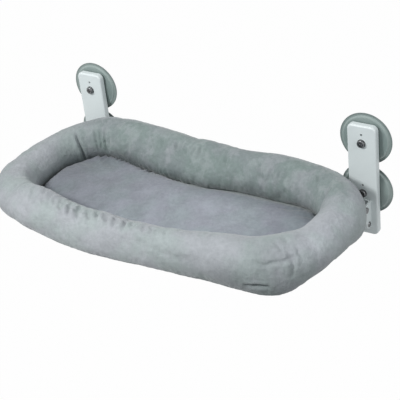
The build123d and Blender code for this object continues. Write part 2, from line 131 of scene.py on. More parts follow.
# %% [markdown]
# ## Materials: a small kit
#
# Every finish below is a node tree that starts at one shader. To keep the cells short, one
# function adds a node, links what is handed to it and gives back the output socket, and a
# little class keeps a finish together.
# Patterns are read from object coordinates, which are metres of the real thing, so a weave
# can be written in its true size and needs no unwrapping.
#
# In the masks below, `rise` turns a length into a share that grows between two places, and
# `times` multiplies such shares: a mask is a list of conditions that all have to hold.


# %% Helpers for node trees
def add_node(tree, kind, output=0, settings=(), **inputs):
    """Add a node. Inputs are sockets or values, by name or as i0, i1 by number."""
    node = tree.nodes.new("ShaderNode" + kind)
    for key, value in dict(settings).items():
        setattr(node, key, value)
    for key, value in inputs.items():
        number = key[1:]
        target = node.inputs[int(number) if number.isdigit() else key.replace("_", " ")]
        if isinstance(value, bpy.types.NodeSocket):
            tree.links.new(value, target)
        else:
            target.default_value = value
    return node.outputs[output]


class Finish:
    """A material and the nodes that feed its shader."""

    def __init__(self, name, **sockets):
        self.material = bpy.data.materials.new(name)
        self.material.use_nodes = True
        self.tree = self.material.node_tree
        self.shader = self.tree.nodes["Principled BSDF"]
        self.place = self.tree.nodes.new("ShaderNodeTexCoord").outputs["Object"]
        for socket, value in sockets.items():
            self.shader.inputs[socket.replace("_", " ")].default_value = value

    def add(self, kind, **others):
        return add_node(self.tree, kind, **others)

    def axes(self):
        """The three object coordinates, in metres."""
        return [self.add("SeparateXYZ", output=axis, i0=self.place) for axis in range(3)]

    def speckle(self, scale, detail=2.0, roughness=0.5, place=None):
        """Noise from 0 to 1 with so many spots per metre."""
        return self.add(
            "TexNoise", Vector=place or self.place, Scale=scale, Detail=detail, Roughness=roughness
        )

    def ramp(self, value, *stops):
        """Colour ramp from (position, colour) pairs; a single number is a grey."""
        node = self.tree.nodes.new("ShaderNodeValToRGB")
        while len(node.color_ramp.elements) < len(stops):
            node.color_ramp.elements.new(1)
        for element, (position, colour) in zip(node.color_ramp.elements, stops):
            element.position = position
            shade = (colour,) * 3 if isinstance(colour, (int, float)) else colour
            element.color = (*shade, 1)
        self.tree.links.new(value, node.inputs[0])
        return node.outputs[0]

    def mix(self, factor, first, second, blend="MIX"):
        """Blend two colours, each a socket or three numbers."""
        ends = [c if isinstance(c, bpy.types.NodeSocket) else (*c, 1) for c in (first, second)]
        settings = {"data_type": "RGBA", "blend_type": blend}
        return self.add("Mix", output=2, settings=settings, i0=factor, i6=ends[0], i7=ends[1])

    def tint(self, first, second):
        return self.mix(1.0, first, second, "MULTIPLY")

    def math(self, operation, first, second=0.0):
        return self.add("Math", settings={"operation": operation}, i0=first, i1=second)

    def vector(self, operation, first, second=(0, 0, 0), output=0):
        settings = {"operation": operation}
        return self.add("VectorMath", output=output, settings=settings, i0=first, i1=second)

    def times(self, first, *others):
        for other in others:
            first = self.math("MULTIPLY", first, other)
        return first

    def rise(self, value, low, high, least=0.0, most=1.0):
        """From least to most as a length goes from low to high, both in millimetres."""
        share = self.math("DIVIDE", self.math("SUBTRACT", value, low * MM), (high - low) * MM)
        return self.ramp(share, (0.0, least), (1.0, most))

    def bump(self, height, strength, distance, after=None):
        """A normal that follows the height; after is the normal of a coarser bump."""
        inputs = {"Height": height, "Strength": strength, "Distance": distance}
        if after is not None:
            inputs["Normal"] = after
        return self.add("Bump", **inputs)

    def feed(self, **sockets):
        """Link the shader's sockets and hand over the material."""
        for name, value in sockets.items():
            self.tree.links.new(value, self.shader.inputs[name.replace("_", " ")])
        return self.material


print("finish helper ready")

# %% [markdown]
# ## Plush
#
# The bed is covered in short-pile plush. Up close that is a mat of fine fibres that lean in
# clumps, and where the pile leans away from the eye it looks lighter. Real fibres would be
# millions of hairs. Bump at two sizes does it here, for fibres under a millimetre and clumps
# of a few millimetres. The clumps and the broad patches that a hand leaves behind shift the
# colour a little, and a soft sheen lifts the edges.


# %% Plush finish
PATCHES, CLUMPS, FIBRES = 34, 150, 1300  # spots per metre
GREENISH, LILAC = (0.95, 1.0, 0.965), (1.0, 0.985, 1.0)


def plush(name, pale, deep, sheen, painted_shade_and_mottle):
    """The last argument gives tints and shares: painted shade and light, and mottling."""
    cloth = Finish(name, Roughness=0.95, Sheen_Weight=sheen, Sheen_Roughness=0.45)
    patches = cloth.speckle(PATCHES, 4, 0.65)
    clumps = cloth.speckle(CLUMPS, 4, 0.65)
    fibres = cloth.speckle(FIBRES, 3, 0.7)
    brushed = cloth.math("ADD", cloth.times(patches, 0.55), cloth.times(clumps, 0.45))
    colour = cloth.ramp(brushed, (0.39, deep), (0.61, pale))
    hue = cloth.ramp(cloth.speckle(20, 2), (0.4, GREENISH), (0.6, LILAC))
    colour = cloth.tint(colour, hue)
    # Painted shade and light, and random mottling, mixed into the colour.
    for shade, share in painted_shade_and_mottle(cloth):
        colour = cloth.mix(share, colour, cloth.tint(colour, shade))
    tips = cloth.ramp(fibres, (0.35, 0.84), (0.7, 1.0))
    pile = cloth.bump(fibres, 0.55, 0.6 * MM)
    pile = cloth.bump(clumps, 0.7, 2.2 * MM, pile)
    return cloth.feed(Base_Color=cloth.tint(colour, tips), Normal=pile)


print("plush spots per metre:", PATCHES, CLUMPS, FIBRES)

# %% [markdown]
# ## Painted shade and light on the pile
#
# The colour is painted darker where shade falls: on the side of the ring that faces the cat,
# low down towards its right end, on its left end and at its front right corner, in the crevice
# round the pad, and on the pad's left and along its rear edge. The top of the right end is
# painted lighter, as painted light. The pad is also darker at its right end and gets random
# mottling. Masks could be painted by hand. Here each is worked out from the place, because the
# ring's middle line is simple, a rectangle with round corners, and the distance to it tells
# inside from outside. Noise makes the borders uneven.

# %% Painted shade and light on the ring and the pad
RING_MIDDLE_Y = -173.5 * MM
STRAIGHT_X, STRAIGHT_Y = 186 * MM, 21 * MM  # half lengths of the straight parts
RING_CORNER = 97 * MM
ANY_HEIGHT = 10.0
RAGGED_RING, RAGGED_PAD = 22 * MM, 90 * MM


def side_of_ring(cloth):
    """Distance outwards from the ring's middle line, with an uneven edge."""
    step = cloth.vector("ABSOLUTE", cloth.vector("SUBTRACT", cloth.place, (0, RING_MIDDLE_Y, 0)))
    step = cloth.vector("SUBTRACT", step, (STRAIGHT_X, STRAIGHT_Y, ANY_HEIGHT))
    reach = cloth.vector("LENGTH", cloth.vector("MAXIMUM", step), output=1)
    uneven = cloth.times(cloth.speckle(30, 3), RAGGED_RING)
    return cloth.math("SUBTRACT", cloth.math("ADD", reach, uneven), RING_CORNER + RAGGED_RING / 2)


def ring_painted_shade_and_light(cloth):
    side, (x, y, z), rise = side_of_ring(cloth), cloth.axes(), cloth.rise
    blotches = cloth.ramp(cloth.speckle(PATCHES, 4, 0.65), (0.42, 0.5), (0.55, 1.0))
    # Painted shade: the inner wall, the crevice, low down, the left end and the front right corner
    # are darkened where shade falls. The top of the right end is lightened, as painted light.
    shaded_inner_wall = (rise(side, 30, 8), rise(y, -175, -105, 0.15), rise(x, -285, -215, 0.15))
    crevice_shadow = (rise(side, 5, -8), rise(z, -20, -43), rise(x, -90, 10, 1.0, 0.4))
    low = (rise(z, 6, -38), rise(side, -10, 12), rise(x, 20, 210), rise(x, 318, 262, 0.3))
    shaded_left_end = (rise(x, -205, -270), rise(side, -12, 8))
    corner = (rise(x, 190, 250), rise(y, -235, -285), rise(z, -35, 5))
    lit_right_end = (rise(x, 250, 300), rise(z, -25, 5))
    return [
        ((0.55, 0.615, 0.585), cloth.times(*shaded_inner_wall, blotches)),
        ((0.46, 0.49, 0.51), cloth.times(*crevice_shadow)),
        ((0.55, 0.58, 0.57), cloth.times(*low)),
        ((0.83, 0.84, 0.84), cloth.times(*shaded_left_end)),
        ((0.84, 0.85, 0.85), cloth.times(*corner)),
        ((1.20, 1.19, 1.21), cloth.times(*lit_right_end)),
    ]


def pad_painted_shade_and_mottle(cloth):
    """Painted shade on the pad's left and along its rear edge, darker at its right end, and
    mottling.
    """
    x, y, _ = cloth.axes()
    uneven = cloth.times(cloth.math("SUBTRACT", cloth.speckle(16, 2), 0.5), RAGGED_PAD)
    across = cloth.math("ADD", x, uneven)
    back = cloth.math("ADD", y, cloth.times(uneven, 0.25))
    rise = cloth.rise
    return [
        # Painted shade to the left, in the crevice behind the middle and along the rear edge;
        # darker at the right end; the last row is random mottling.
        ((0.59, 0.60, 0.60), rise(across, 50, -215)),
        ((0.80, 0.81, 0.82), rise(across, 130, 185)),
        ((0.66, 0.67, 0.68), cloth.times(rise(back, -150, -114), rise(across, -80, 10))),
        ((0.80, 0.81, 0.82), rise(back, -108, -86)),
        ((0.90, 0.91, 0.90), cloth.ramp(cloth.speckle(24, 3), (0.42, 0.5), (0.6, 0.0))),
    ]


bolster_plush = plush(
    "bolster_plush", (0.435, 0.459, 0.478), (0.354, 0.378, 0.392), 0.25, ring_painted_shade_and_light
)
pad_plush = plush("pad_plush", (0.37, 0.394, 0.442), (0.298, 0.317, 0.355), 0.2, pad_painted_shade_and_mottle)
print("plush made:", bolster_plush.name, pad_plush.name)

# %% [markdown]
# ## Cover cloth
#
# The tubes run through sleeves of a plain woven cloth, the same that is stretched under the
# bed. A plain weave is two sets of threads that pass over and under each other. Two wave
# textures at right angles would do for a flat piece. The sleeves run in two directions, so
# there is a wave along each axis, and the highest of the three is the thread on top.


# %% Woven finish
THREAD = 0.9 * MM
WAVE_LENGTH = 0.31  # metres from one wave to the next in a wave texture of scale 1


def woven(name, pale, deep, thread):
    """Plain weave with threads of the given width."""
    cloth = Finish(name, Roughness=0.85, Sheen_Weight=0.12)
    uneven = cloth.speckle(55, 3)
    threads = [
        cloth.add(
            "TexWave",
            output=1,
            settings={"bands_direction": direction, "wave_profile": "SIN"},
            Vector=cloth.place,
            Scale=WAVE_LENGTH / thread,
            Distortion=0.6,
            Detail=1.0,
        )
        for direction in "XYZ"
    ]
    weave = cloth.math("MAXIMUM", cloth.math("MAXIMUM", threads[0], threads[1]), threads[2])
    colour = cloth.mix(cloth.times(uneven, 0.8), deep, pale)
    shade = cloth.ramp(weave, (0.2, 0.8), (0.9, 1.0))
    relief = cloth.bump(weave, 0.4, 0.25 * MM)
    return cloth.feed(Base_Color=cloth.tint(colour, shade), Normal=relief)


cover_cloth = woven("cover_cloth", (0.36, 0.40, 0.40), (0.27, 0.305, 0.305), THREAD)
print("woven cloth made:", cover_cloth.name)

# %% [markdown]
# ## Powder coat, bare metal and plastic
#
# The brackets are pressed steel under an off-white powder coat, which dries with a faint
# orange-peel skin. The fasteners are zinc plated, with fine brush marks. The hubs, spacers
# and tube paint are simpler. They all share the same three ideas: a colour that varies by a
# few percent, a roughness that varies with it, and a bump of the right size.


# %% Hard finishes
WEAR = 0.06  # how far a colour and its roughness vary


def coated(name, colour, roughness, peel=0.25):
    """Paint or plastic: peel is the strength of its skin."""
    paint = Finish(name, Coat_Weight=0.08, Coat_Roughness=0.3)
    skin = paint.speckle(900, 2)
    cloud = paint.speckle(22, 4)
    darker = tuple(c * (1 - 2 * WEAR) for c in colour)
    shade = paint.mix(cloud, darker, colour)
    rough = paint.ramp(cloud, (0.3, roughness - WEAR), (0.7, roughness + WEAR))
    return paint.feed(Base_Color=shade, Roughness=rough, Normal=paint.bump(skin, peel, 0.15 * MM))


BRUSHED = (60, 60, 2200)  # marks per metre along each axis


def plated(name, colour, roughness):
    """Zinc plate with fine marks of a brush."""
    metal = Finish(name, Metallic=1.0)
    stretched = metal.add("Mapping", i0=metal.place, i3=BRUSHED)
    marks = metal.speckle(1.0, 3, 0.6, stretched)
    stain = metal.speckle(120, 3)
    shade = metal.mix(stain, tuple(0.8 * c for c in colour), colour)
    rough = metal.ramp(marks, (0.3, roughness - 0.1), (0.7, roughness + 0.12))
    return metal.feed(Base_Color=shade, Roughness=rough, Normal=metal.bump(marks, 0.15, 0.05 * MM))


COATED = {
    # colour, roughness, strength of the skin
    "bracket_paint": ((0.69, 0.745, 0.745), 0.42),
    "hub_plastic": ((0.16, 0.18, 0.18), 0.5, 0.1),
    "frame_paint": ((0.32, 0.35, 0.36), 0.4),
    "knuckle_metal": ((0.34, 0.37, 0.38), 0.38),
    "spacer_plastic": ((0.055, 0.06, 0.065), 0.55, 0.15),
}
finishes = {name: coated(name, *look) for name, look in COATED.items()}
finishes["plated_steel"] = plated("plated_steel", (0.19, 0.195, 0.20), 0.33)
finishes |= {"sleeve_fabric": cover_cloth, "plush_fabric": bolster_plush, "pad_fabric": pad_plush}
print("finishes by slot:", len(finishes))

# %% [markdown]
# ## Suction cup rubber
#
# The cups are a translucent grey-green rubber. The lip is thin and dark against the glass, a
# lighter ring just inside it is a painted highlight on the bevel, and the dome gets darker
# towards the neck. All of that depends only on the distance from the cup's own axis, so each
# cup has a material that measures that distance. One shared material with a painted picture
# would do as well, but it would need unwrapping.


# %% Rubber finish, one for each cup
CUP_RADIUS = 45 * MM
CUP_COAT = {"Coat_Weight": 0.25, "Coat_Roughness": 0.12}


def cup_rubber(name, x, z):
    """Rubber shaded by the distance from an axis through x and z, as a share of the radius."""
    rubber = Finish(name, Roughness=0.3, IOR=1.45, Transmission_Weight=0.12, **CUP_COAT)
    away = rubber.vector("SUBTRACT", rubber.place, (x, 0, z))
    flat = rubber.vector("MULTIPLY", away, (1, 0, 1))
    share = rubber.math("DIVIDE", rubber.vector("LENGTH", flat, output=1), CUP_RADIUS)
    rings = rubber.ramp(
        share,
        (0.30, (0.125, 0.165, 0.158)),
        (0.60, (0.180, 0.232, 0.222)),
        (0.82, (0.225, 0.285, 0.272)),
        # Painted highlight on the bevel.
        (0.87, (0.310, 0.375, 0.358)),
        (0.93, (0.255, 0.315, 0.300)),
        (0.985, (0.165, 0.205, 0.195)),
    )
    dust = rubber.times(rubber.speckle(35, 4), 0.16)
    colour = rubber.mix(dust, rings, (0.36, 0.42, 0.41))
    return rubber.feed(Base_Color=colour, Normal=rubber.bump(rubber.speckle(600), 0.08, 0.1 * MM))


def middle_and_half(node):
    """The middle of a CAD part's box and half of its size."""
    low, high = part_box(node)
    return (low + high) / 2, (high - low) / 2


def dress(piece, material):
    piece.data.materials.clear()
    piece.data.materials.append(material)


cups = [name for name in nodes if name.endswith("_cup")]
for name in cups:
    middle, _ = middle_and_half(name)
    dress(nodes[name], cup_rubber(name + "_rubber", middle.x, middle.z))
print("cups finished:", len(cups))

# %% [markdown]
# ## Finishes on the CAD parts
#
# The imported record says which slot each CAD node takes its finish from, so one loop dresses
# all the hard parts. The meshes stay as they are.

# %% Dress the hard parts
subparts = frame["record"]["subparts"]
for entry in subparts:
    if entry["material_slot"] in finishes:
        dress(nodes[entry["node"]], finishes[entry["material_slot"]])
print("dressed", sum(entry["material_slot"] in finishes for entry in subparts), "nodes")

# %% [markdown]
# ## Where a point lies on the ring
#
# The bolster is a stuffed ring whose middle line is a rectangle with round corners. Folds and
# gathers on the real one follow that line or cross it, so it helps to know, for any point of
# the mesh, how far along the ring it is and at what angle round the stuffing. Both follow
# from that line and its level.

# %% Ring coordinates
RING_LEVEL = -30 * MM


def ring_coordinates(points):
    """Distance along each half of the ring, and offset outwards and upwards from its middle."""
    x, y = points[:, 0], points[:, 1] - RING_MIDDLE_Y
    past_x, past_y = np.abs(x) - STRAIGHT_X, np.abs(y) - STRAIGHT_Y
    corner = (past_x > 0) & (past_y > 0)
    end = ~corner & (past_x > past_y)
    reach = np.where(corner, np.hypot(past_x, past_y), np.where(end, past_x, past_y))
    turn = RING_CORNER * math.pi / 2
    along = np.where(
        corner,
        STRAIGHT_X + RING_CORNER * np.arctan2(past_x, past_y),
        np.where(end, STRAIGHT_X + turn - past_y, np.abs(x)),
    )
    return along * np.sign(x), reach - RING_CORNER, points[:, 2] - RING_LEVEL


def vertices_of(mesh, what="co"):
    """Three numbers for each vertex: its place, or what else is asked for."""
    values = np.empty(len(mesh.vertices) * 3)
    mesh.vertices.foreach_get(what, values)
    return values.reshape(-1, 3)


def normals_of(mesh):
    return vertices_of(mesh, "normal")


def move_vertices(mesh, points):
    mesh.vertices.foreach_set("co", points.ravel())
    mesh.update()


print("ring level", RING_LEVEL, "m, corner", RING_CORNER, "m")

# %% [markdown]
# ## Stuffing by cloth simulation
#
# Loose filling pushes a sewn cover outwards until the cloth stops it. Blender's cloth does the
# same with pressure. The CAD solid is copied, remeshed into small even squares so that it can
# bend anywhere, and left to swell. What is sewn down is pinned, no point may move further than
# a cap, and the result is applied, so nothing is left to simulate. One subdivision then gives
# the fine mesh that the folds need.


# %% Copy and remesh a soft solid
def copy_solid(node, name):
    """A free copy of a CAD part, in the world's own frame."""
    piece = nodes[node].copy()
    piece.data = nodes[node].data.copy()
    piece.name = piece.data.name = name
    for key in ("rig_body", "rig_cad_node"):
        del piece[key]
    piece.parent = None
    piece.matrix_world = Matrix.Identity(4)
    bpy.context.scene.collection.objects.link(piece)
    return piece


def apply_modifiers(piece):
    """Turn what the modifiers show into the piece's own mesh."""
    bpy.context.view_layer.update()
    graph = bpy.context.evaluated_depsgraph_get()
    made = bpy.data.meshes.new_from_object(piece.evaluated_get(graph))
    old = piece.data
    piece.modifiers.clear()
    piece.data = made
    bpy.data.meshes.remove(old)
    return piece


def remesh(piece, voxel):
    modifier = piece.modifiers.new("even", "REMESH")
    modifier.mode, modifier.voxel_size = "VOXEL", voxel
    modifier.use_smooth_shade = True
    return apply_modifiers(piece)


def subdivide(piece):
    modifier = piece.modifiers.new("smooth", "SUBSURF")
    modifier.levels = modifier.render_levels = 1
    return apply_modifiers(piece)


def ease(piece, times):
    """Even out the small crumples of the simulation, which are no folds of the real cover."""
    modifier = piece.modifiers.new("ease", "SMOOTH")
    modifier.factor, modifier.iterations = 0.5, times
    return apply_modifiers(piece)


print("mesh helpers ready")

# %% [markdown]
# ## The simulation itself
#
# The cloth is light, stiff along its threads and easy to bend, so it bulges as a whole and
# hardly stretches. Gravity is off, because the filling carries the cover.

# %% Swell a soft solid
SWELL_FRAMES = 20
TINY = 1e-9  # keeps a division by a length away from zero
PLUSH_CLOTH = {
    "quality": 6, "mass": 0.2, "use_pressure": True, "bending_stiffness": 0.4,
    "tension_stiffness": 12, "compression_stiffness": 12, "shear_stiffness": 6,
}


def swell(piece, held, pressure, cap, shrink=0.0):
    """Cloth simulation with inner pressure. held tells which points are sewn down."""
    start = vertices_of(piece.data)
    group = piece.vertex_groups.new(name="sewn")
    group.add(np.nonzero(held)[0].tolist(), 1.0, "REPLACE")
    settings = piece.modifiers.new("stuffing", "CLOTH").settings
    for key, value in PLUSH_CLOTH.items():
        setattr(settings, key, value)
    settings.shrink_min, settings.uniform_pressure_force = shrink, pressure
    settings.vertex_group_mass = "sewn"
    settings.effector_weights.gravity = 0
    for frame_number in range(1, SWELL_FRAMES + 1):
        bpy.context.scene.frame_set(frame_number)
    apply_modifiers(piece)
    bpy.context.scene.frame_set(1)
    moved = vertices_of(piece.data) - start
    reach = np.linalg.norm(moved, axis=1, keepdims=True)
    move_vertices(piece.data, start + moved * np.minimum(1, cap / np.maximum(reach, TINY)))
    print(piece.name, "swelled by", round(float(reach.mean() / MM), 1), "mm on average")
    return piece


print("cloth swells for", SWELL_FRAMES, "frames")

# %% [markdown]
# ## Bolster: the swollen ring
#
# The ring is sewn down along its underside, where it meets the tubes and the base, so those
# points are held. The solid has the rough form already, so the swelling is small.

# %% Make the ring
SEWN_LEVEL = -54 * MM
bolster = remesh(copy_solid("bolster", "bolster_cover"), 4 * MM)
held = vertices_of(bolster.data)[:, 2] < SEWN_LEVEL
swell(bolster, held, pressure=3.5, cap=5 * MM, shrink=-0.02)
ease(bolster, 6)
subdivide(bolster)
print("bolster has", len(bolster.data.vertices), "points")

# %% [markdown]
# ## Bolster: fullness
#
# Filling never lies evenly. On the real ring the back corners are full, the middle of the
# front is slack, and the right end is pressed in low down. Each entry of the table is a strip
# round the stuffing, with a height at a few places along the ring. It is blended between them
# and fades to both sides. Sculpting by hand could do the same, but a table can be read,
# checked against the photograph and changed.

# %% Fullness table
# Places are millimetres along each half of the ring, from its middle to the right. Angles are
# degrees round the stuffing: 0 faces out, 90 is the crest, 180 faces the bed. Heights are
# millimetres outwards.
FULLNESS = [
    # half, angle, spread, (along, height) pairs
    ("front", 112, 40,
     [(-330, 0), (-260, 3), (-215, 9), (-189, 10), (-167, 8), (-150, 3.5), (-129, 0.5),
      (-107, -2), (-85, -3), (-64, -1.5), (-28, -6), (0, -6), (35, -5), (84, -4), (103, -2.5),
      (124, -0.5), (153, 2), (185, 5), (213, 6.5), (237, 7), (265, 8), (300, 2), (340, 0)]),
    ("front", -40, 36,
     [(-330, 0), (-280, -5), (-225, -8), (-212, -7), (-193, -3.5), (-168, -1), (-134, 3),
      (-92, 6.5), (-43, 6.5), (10, 5), (48, 4), (100, 2.5), (149, 0), (191, 0), (213, 2.5),
      (233, 8), (247, 9), (262, 6.5), (274, -1), (288, -6), (300, -11), (316, -14),
      (343, -9), (360, -8)]),
    ("back", -40, 36, [(300, 0), (322, 1), (337, -2), (360, -9)]),
    ("front", 66, 42, [(-360, -3), (-335, -1), (-310, 0)]),
    ("back", 66, 42,
     [(-360, -3), (-330, -8), (-305, -9), (-283, -4), (-264, -0.5), (-240, 3), (-215, 8),
      (-199, 8), (-173, 5), (-147, 1), (-122, -1), (-96, -2), (-69, -2), (-45, -2.5),
      (-20, -1.5), (9, -1), (33, -3), (58, -4.5), (83, -5), (109, -3.5), (132, -1.5),
      (152, -2), (175, -1), (210, -3), (240, -2), (300, 0)]),
    ("back", 202, 46,
     [(-290, 0), (-250, -4), (-225, -6), (-206, -9), (-184, -9), (-165, -8), (-143, -4),
      (-124, 0), (-100, 4), (-60, 9), (-20, 10), (20, 9), (50, 4), (90, 1), (130, 1),
      (180, 2), (215, 4), (250, 2), (280, 0)]),
]


def falloff(distance):
    """A bell: 1 in the middle, about a third at a distance of 1, next to nothing at 2."""
    return np.exp(-np.square(distance))


def wander(points, scale, seed):
    """Smooth unevenness from -1 to 1 at each point, with so many waves per metre."""
    shift = Vector((seed * 7.3, seed * 3.1, seed * 5.7))
    return np.array([noise.noise(Vector(p) * scale + shift) for p in points])


def blended(along, pairs):
    """Heights between the places of a table, rounded off over a short reach."""
    places, heights = zip(*pairs)
    steps = np.linspace(-14, 14, 5)
    return sum(np.interp(along + step, places, heights) for step in steps) / len(steps)


def on_the_ring(points):
    """Millimetres along the ring, angle round the stuffing, and which points are in front."""
    along, offset, height = ring_coordinates(points)
    angle = np.degrees(np.arctan2(height, offset))
    angle = np.where(angle < -120, angle + 360, angle)
    return along / MM, angle, points[:, 1] < RING_MIDDLE_Y


def fullness(points):
    """Millimetres that the filling pushes each point outwards."""
    along, angle, front = on_the_ring(points)
    move = np.zeros(len(points))
    for half, middle, spread, pairs in FULLNESS:
        strip = falloff((angle - middle) / spread) * (front == (half == "front"))
        move += strip * blended(along, pairs)
    return move


print("fullness:", len(FULLNESS), "strips")

# %% [markdown]
# ## Bolster: folds, pleats and gathers
#
# Three kinds of smaller relief lie on top. A fold is a line pressed into the cover: the long
# one in the back left corner is where the cover turns. Pleats are short folds side by side
# across the crest of the front, where a longer edge was sewn to a shorter one. No two are
# alike, so each has its own row. Gathers are finer and nearly regular, so a wave in a soft
# patch does for them. All three are tables, like the fullness.

# %% Fold table
FOLDS = {
    # width, depth, places as (along, angle)
    "back": [
        (3.4, 6.0, [(-268, 118), (-268, 140), (-264, 165), (-260, 220)]),
        (2.6, 3.2, [(-228, 112), (-223, 145), (-220, 178)]),
        (2.4, 2.6, [(-215, 116), (-212, 150), (-211, 172)]),
        (2.6, 3.2, [(-205, 112), (-202, 150), (-198, 185)]),
        (2.4, 2.2, [(-192, 124), (-190, 165)]),
        (4.5, 1.5, [(-150, 96), (-146, 140), (-149, 185)]),
        (3.0, 3.0, [(-92, 104), (-80, 114), (-70, 131)]),
        (2.4, 2.8, [(-54, 100), (-50, 130)]),
        (2.4, 2.6, [(-7, 98), (-3, 128)]),
        (2.4, 2.0, [(-18, 104), (-15, 124)]),
        (2.4, 2.2, [(-34, 108), (-30, 132)]),
        (5.0, 1.8, [(10, 130), (6, 160), (8, 190)]),
        (2.6, 2.4, [(44, 112), (48, 146)]),
        (2.8, 1.4, [(72, 120), (77, 146)]),
        (3.2, 3.2, [(110, 114), (113, 138), (119, 158)]),
        (3.0, 2.8, [(133, 120), (136, 150)]),
        (2.8, 1.8, [(150, 134), (152, 164)]),
        (2.8, 1.6, [(160, 128), (163, 152)]),
        (3.0, 1.6, [(172, 126), (170, 150), (176, 170)]),
        (3.0, 4.0, [(214, 104), (222, 112), (226, 124)]),
        (3.0, 1.8, [(228, 116), (234, 138)]),
        (8.0, 4.0, [(236, 104), (262, 122), (280, 150), (296, 190)]),
    ],
    "front": [
        (2.6, 2.6, [(224, 42), (238, 39), (246, 43), (255, 42), (266, 47)]),
        (2.6, 2.4, [(263, 56), (266, 34), (263, 8)]),
        (2.4, 1.8, [(251, 86), (256, 64)]),
        (2.6, 1.6, [(247, 28), (250, 8)]),
        (3.2, 0.8, [(238, 18), (240, 2)]),
        (2.6, 1.8, [(275, 64), (278, 40)]),
        (4.5, 1.2, [(262, 112), (266, 92), (264, 74)]),
        (11.0, 2.0, [(266, 70), (272, 30), (270, -10)]),
        (2.2, 6.0, [(213, -11), (225, -7), (237, -10)]),
        (6.0, 1.6, [(-262, 112), (-258, 80)]),
        (5.0, 1.4, [(-300, 104), (-290, 70), (-292, 40)]),
        (6.0, 1.5, [(292, 96), (296, 60), (294, 20)]),
        (6.0, 1.2, [(30, 30), (90, 18), (150, 26)]),
    ],
}
print("folds:", {half: len(rows) for half, rows in FOLDS.items()})

# %% Pleats and gathers
PLEATS = [
    # along, upper angle, lower angle, depth
    (-164, 96, 66, 1.2), (-151, 104, 58, 2.0), (-143, 100, 72, 1.4), (-131, 106, 62, 3.2),
    (-124, 102, 44, 1.8), (-111, 104, 50, 3.8), (-105, 106, 74, 1.6), (-94, 106, 46, 5.0),
    (-88, 98, 70, 1.4), (-76, 100, 58, 3.0), (-70, 96, 40, 1.6), (-57, 96, 56, 3.6),
    (-44, 94, 68, 1.6), (-38, 92, 44, 2.8), (-24, 90, 52, 3.4), (-17, 86, 62, 1.4),
    (-3, 84, 42, 3.0), (11, 82, 56, 1.8), (18, 80, 36, 2.4), (33, 78, 52, 2.4),
    (49, 78, 40, 1.8), (57, 78, 56, 1.2), (74, 80, 46, 1.4), (-186, 100, 60, 1.6),
    (-205, 104, 70, 1.4),
]
GATHERS = {
    # along, half length, angle, spread, pitch, height
    "back": [
        (-208, 24, 150, 34, 6.5, 1.2),
        (-95, 34, 120, 22, 9.0, 1.6),
        (-30, 36, 118, 24, 8.5, 2.2),
        (40, 34, 128, 26, 9.0, 2.0),
        (150, 38, 140, 30, 9.5, 2.4),
        (60, 160, 190, 20, 12.0, 1.2),
        (-110, 70, 190, 20, 10.0, 1.3),
    ],
    "front": [
        (-110, 52, 84, 30, 17.0, 3.4),
        (-20, 60, 76, 30, 19.0, 3.0),
        (100, 60, 80, 36, 16.0, 1.2),
        (-178, 28, 80, 40, 14.0, 2.0),
        (-228, 26, 96, 36, 12.0, 1.6),
    ],
}
CREST_ANGLE = 76


def pleat(place, above, below, depth):
    """A pleat as a fold that leans a little to the right on its way down, wider where deeper."""
    way = [(place - 5, above), (place, CREST_ANGLE), (place + 7, below)]
    return 2.0 + 0.25 * depth, depth, way


FOLDS["front"] += [pleat(*row) for row in PLEATS]
print("pleats:", len(PLEATS), "gathers:", sum(len(rows) for rows in GATHERS.values()))

# %% [markdown]
# ## Bolster: from the tables to a height
#
# A groove is a bell of the distance to the fold's line, with soft lips on both sides, and it
# fades at both ends. The distance is measured on the unrolled cover, so the angle is turned
# into a length first.

# %% Heights of folds and gathers
ARC = 0.61  # millimetres of cover for each degree round the stuffing


def distance_to_line(along, angle, places):
    """Distance on the unrolled cover to a line, and the share of the way along it."""
    best, share_of_way = np.full(len(along), 1e9), np.zeros(len(along))
    for number, ((a1, t1), (a2, t2)) in enumerate(zip(places, places[1:])):
        step = np.array([a2 - a1, (t2 - t1) * ARC])
        reach = (along - a1) * step[0] + (angle - t1) * ARC * step[1]
        share = np.clip(reach / step.dot(step), 0, 1)
        gap = np.hypot(along - a1 - share * step[0], (angle - t1) * ARC - share * step[1])
        share_of_way = np.where(gap < best, (number + share) / (len(places) - 1), share_of_way)
        best = np.minimum(best, gap)
    return best, share_of_way


def folds(along, angle, rows):
    """Grooves of the folds and pleats of one half, in millimetres."""
    move = np.zeros(len(along))
    for width, depth, places in rows:
        gap, way = distance_to_line(along, angle, places)
        near = gap < 6 * width
        gap, fade = gap[near], np.sin(math.pi * np.clip(way[near], 0.03, 0.97)) ** 0.4
        lips = falloff((gap - 2.1 * width) / (1.5 * width))
        move[near] += depth * fade * (0.3 * lips - falloff(gap / width))
    return move


def gathers(along, angle, rows, uneven, patchy):
    """Waves with round backs and sharp valleys, in patches, in millimetres."""
    move = np.zeros(len(along))
    for place, length, middle, spread, pitch, tall in rows:
        near = falloff(np.square((along - place) / length)) * falloff((angle - middle) / spread)
        wave = np.sin(2 * math.pi * (along + 7 * uneven + 0.05 * (angle - middle)) / pitch)
        wave = np.where(wave > 0, wave, -np.abs(wave) ** 0.6)
        strength = np.clip(0.55 + 1.3 * patchy, 0, 1.4)
        move += 0.5 * tall * near * wave * strength
    return move


print("cover per degree:", ARC, "mm")

# %% [markdown]
# ## Bolster: raise the relief
#
# The points move along their normals, first by the fullness and then by the folds, so that a
# fold is cut square into the swell it lies on. Noise bends the folds' lines, because none in
# plush is straight. The underside is left alone: it rests on the base inside the ring and on
# the tubes outside it, so the relief starts at two levels.

# %% Raise the relief
FREE_INSIDE, FREE_OUTSIDE, FREE_RISE = -56 * MM, -66 * MM, 5 * MM


